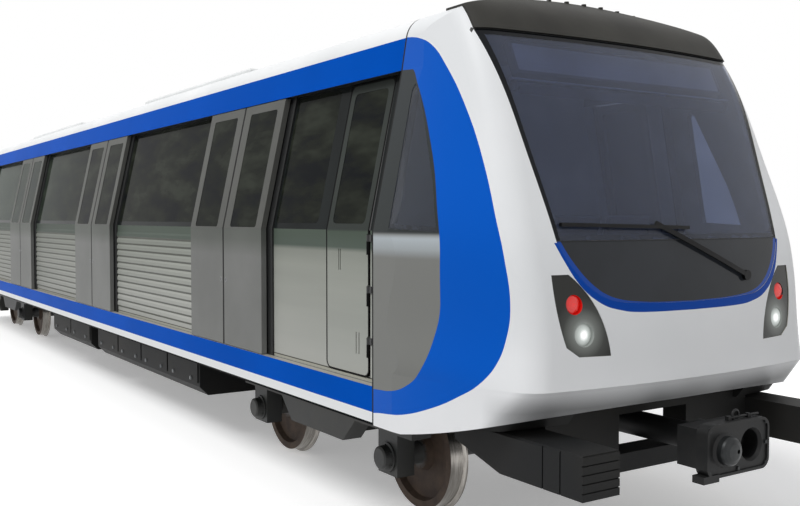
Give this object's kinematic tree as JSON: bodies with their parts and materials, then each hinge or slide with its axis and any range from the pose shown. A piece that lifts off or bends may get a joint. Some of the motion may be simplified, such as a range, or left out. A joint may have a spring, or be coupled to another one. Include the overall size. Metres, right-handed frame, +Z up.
{
  "type": "metro train end car with a driver's cab",
  "caption": "Metro end car: rounded cab nose with a tall windscreen, blue bands, ribbed sides, sliding double doors, two bogies and a front coupler.",
  "frame": {"origin": "centre of the overall box, on the level of the wheel flanges' lowest points", "axes": "+Z up, +Y from the cab to the rear end, +X to the driver's left"},
  "size_m": [3.1, 19.38, 3.755],
  "materials": {
    "white_paint": "gloss enamel",
    "blue_paint": "gloss enamel",
    "steel_panel": "pressed ribs, brushed along the car",
    "door_paint": "satin grey",
    "tinted_glass": "dark tint",
    "black_panel": "gloss black",
    "visor_plastic": "satin dark grey",
    "lamp_plastic": "dark grey housing with clear and red lenses",
    "black_rubber": "matt",
    "frame_paint": "satin black",
    "cast_steel": "as cast, painted",
    "wheel_steel": "forged, bright tread",
    "lining": "satin light grey",
    "desk_plastic": "dark grained",
    "seat_plastic": "moulded",
    "pole_steel": "satin"
  },
  "bodies": {
    "car_body": {"cab_shell": "white_paint", "windscreen": "tinted_glass", "front_mask": "black_panel", "cab_side_windows": "tinted_glass", "roof_visor": "visor_plastic", "headlamps": "lamp_plastic", "wiper": "black_rubber", "underframe": "frame_paint", "sole_bars": "blue_paint", "bogie_pivots": "frame_paint", "side_wall_left": "steel_panel", "side_wall_right": "steel_panel", "saloon_windows": "tinted_glass", "cantrails": "blue_paint", "roof": "white_paint", "roof_units": "white_paint", "ceiling": "lining", "rear_end_wall": "lining", "gangway": "black_rubber", "rear_drawbar": "cast_steel", "cab_bulkhead": "lining", "driver_desk": "desk_plastic", "driver_seat": "desk_plastic", "saloon_seats": "seat_plastic", "grab_poles": "pole_steel", "equipment_boxes": "frame_paint", "air_tanks": "frame_paint", "anticlimbers": "frame_paint", "coupler_mount": "frame_paint"},
    "coupler": {"coupler": "cast_steel"},
    "bogie_front": {"bogie_frame_front": "cast_steel", "air_springs_front": "black_rubber", "motors_front": "frame_paint"},
    "wheelset_1": {"wheelset_1": "wheel_steel"},
    "wheelset_2": {"wheelset_2": "wheel_steel"},
    "bogie_rear": {"bogie_frame_rear": "cast_steel", "air_springs_rear": "black_rubber", "motors_rear": "frame_paint"},
    "wheelset_3": {"wheelset_3": "wheel_steel"},
    "wheelset_4": {"wheelset_4": "wheel_steel"},
    "cab_door_left": {"cab_door_left": "door_paint"},
    "cab_door_right": {"cab_door_right": "door_paint"},
    "door_left_1_rear": {"door_left_1_rear": "door_paint"},
    "door_left_1_front": {"door_left_1_front": "door_paint"},
    "door_left_2_rear": {"door_left_2_rear": "door_paint"},
    "door_left_2_front": {"door_left_2_front": "door_paint"},
    "door_left_3_rear": {"door_left_3_rear": "door_paint"},
    "door_left_3_front": {"door_left_3_front": "door_paint"},
    "door_left_4_rear": {"door_left_4_rear": "door_paint"},
    "door_left_4_front": {"door_left_4_front": "door_paint"},
    "door_right_1_rear": {"door_right_1_rear": "door_paint"},
    "door_right_1_front": {"door_right_1_front": "door_paint"},
    "door_right_2_rear": {"door_right_2_rear": "door_paint"},
    "door_right_2_front": {"door_right_2_front": "door_paint"},
    "door_right_3_rear": {"door_right_3_rear": "door_paint"},
    "door_right_3_front": {"door_right_3_front": "door_paint"},
    "door_right_4_rear": {"door_right_4_rear": "door_paint"},
    "door_right_4_front": {"door_right_4_front": "door_paint"}
  },
  "joints": [
    {"name": "coupler_swing", "type": "hinge", "parent": "car_body", "child": "coupler", "pos_m": [0, -8.31, 0.84], "axis": [0, 0, 1], "range_deg": [-18, 18]},
    {"name": "bogie_front_yaw", "type": "hinge", "parent": "car_body", "child": "bogie_front", "pos_m": [0, -6.285, 0.8], "axis": [0, 0, 1], "range_deg": [-4, 4]},
    {"name": "wheelset_1_spin", "type": "hinge", "parent": "bogie_front", "child": "wheelset_1", "pos_m": [0, -7.385, 0.458], "axis": [1, 0, 0], "continuous": true},
    {"name": "wheelset_2_spin", "type": "hinge", "parent": "bogie_front", "child": "wheelset_2", "pos_m": [0, -5.185, 0.458], "axis": [1, 0, 0], "continuous": true},
    {"name": "bogie_rear_yaw", "type": "hinge", "parent": "car_body", "child": "bogie_rear", "pos_m": [0, 6.315, 0.8], "axis": [0, 0, 1], "range_deg": [-4, 4]},
    {"name": "wheelset_3_spin", "type": "hinge", "parent": "bogie_rear", "child": "wheelset_3", "pos_m": [0, 5.215, 0.458], "axis": [1, 0, 0], "continuous": true},
    {"name": "wheelset_4_spin", "type": "hinge", "parent": "bogie_rear", "child": "wheelset_4", "pos_m": [0, 7.415, 0.458], "axis": [1, 0, 0], "continuous": true},
    {"name": "cab_door_left_hinge", "type": "hinge", "parent": "car_body", "child": "cab_door_left", "pos_m": [1.475, -7.759, 1.6], "axis": [0, 0, -1], "range_deg": [0, 85]},
    {"name": "cab_door_right_hinge", "type": "hinge", "parent": "car_body", "child": "cab_door_right", "pos_m": [-1.475, -7.759, 1.6], "axis": [0, 0, 1], "range_deg": [0, 85]},
    {"name": "door_left_1_rear_slide", "type": "slide", "parent": "car_body", "child": "door_left_1_rear", "axis": [0, 1, 0], "range_m": [0, 0.655]},
    {"name": "door_left_1_front_slide", "type": "slide", "parent": "car_body", "child": "door_left_1_front", "axis": [0, -1, 0], "range_m": [0, 0.655]},
    {"name": "door_left_2_rear_slide", "type": "slide", "parent": "car_body", "child": "door_left_2_rear", "axis": [0, 1, 0], "range_m": [0, 0.655]},
    {"name": "door_left_2_front_slide", "type": "slide", "parent": "car_body", "child": "door_left_2_front", "axis": [0, -1, 0], "range_m": [0, 0.655]},
    {"name": "door_left_3_rear_slide", "type": "slide", "parent": "car_body", "child": "door_left_3_rear", "axis": [0, 1, 0], "range_m": [0, 0.655]},
    {"name": "door_left_3_front_slide", "type": "slide", "parent": "car_body", "child": "door_left_3_front", "axis": [0, -1, 0], "range_m": [0, 0.655]},
    {"name": "door_left_4_rear_slide", "type": "slide", "parent": "car_body", "child": "door_left_4_rear", "axis": [0, 1, 0], "range_m": [0, 0.655]},
    {"name": "door_left_4_front_slide", "type": "slide", "parent": "car_body", "child": "door_left_4_front", "axis": [0, -1, 0], "range_m": [0, 0.655]},
    {"name": "door_right_1_rear_slide", "type": "slide", "parent": "car_body", "child": "door_right_1_rear", "axis": [0, 1, 0], "range_m": [0, 0.655]},
    {"name": "door_right_1_front_slide", "type": "slide", "parent": "car_body", "child": "door_right_1_front", "axis": [0, -1, 0], "range_m": [0, 0.655]},
    {"name": "door_right_2_rear_slide", "type": "slide", "parent": "car_body", "child": "door_right_2_rear", "axis": [0, 1, 0], "range_m": [0, 0.655]},
    {"name": "door_right_2_front_slide", "type": "slide", "parent": "car_body", "child": "door_right_2_front", "axis": [0, -1, 0], "range_m": [0, 0.655]},
    {"name": "door_right_3_rear_slide", "type": "slide", "parent": "car_body", "child": "door_right_3_rear", "axis": [0, 1, 0], "range_m": [0, 0.655]},
    {"name": "door_right_3_front_slide", "type": "slide", "parent": "car_body", "child": "door_right_3_front", "axis": [0, -1, 0], "range_m": [0, 0.655]},
    {"name": "door_right_4_rear_slide", "type": "slide", "parent": "car_body", "child": "door_right_4_rear", "axis": [0, 1, 0], "range_m": [0, 0.655]},
    {"name": "door_right_4_front_slide", "type": "slide", "parent": "car_body", "child": "door_right_4_front", "axis": [0, -1, 0], "range_m": [0, 0.655]}
  ],
  "couplings": [
    {"joint": "door_left_1_front_slide", "follows": "door_left_1_rear_slide", "ratio": 1},
    {"joint": "door_left_2_front_slide", "follows": "door_left_2_rear_slide", "ratio": 1},
    {"joint": "door_left_3_front_slide", "follows": "door_left_3_rear_slide", "ratio": 1},
    {"joint": "door_left_4_front_slide", "follows": "door_left_4_rear_slide", "ratio": 1},
    {"joint": "door_right_1_front_slide", "follows": "door_right_1_rear_slide", "ratio": 1},
    {"joint": "door_right_2_front_slide", "follows": "door_right_2_rear_slide", "ratio": 1},
    {"joint": "door_right_3_front_slide", "follows": "door_right_3_rear_slide", "ratio": 1},
    {"joint": "door_right_4_front_slide", "follows": "door_right_4_rear_slide", "ratio": 1}
  ]
}
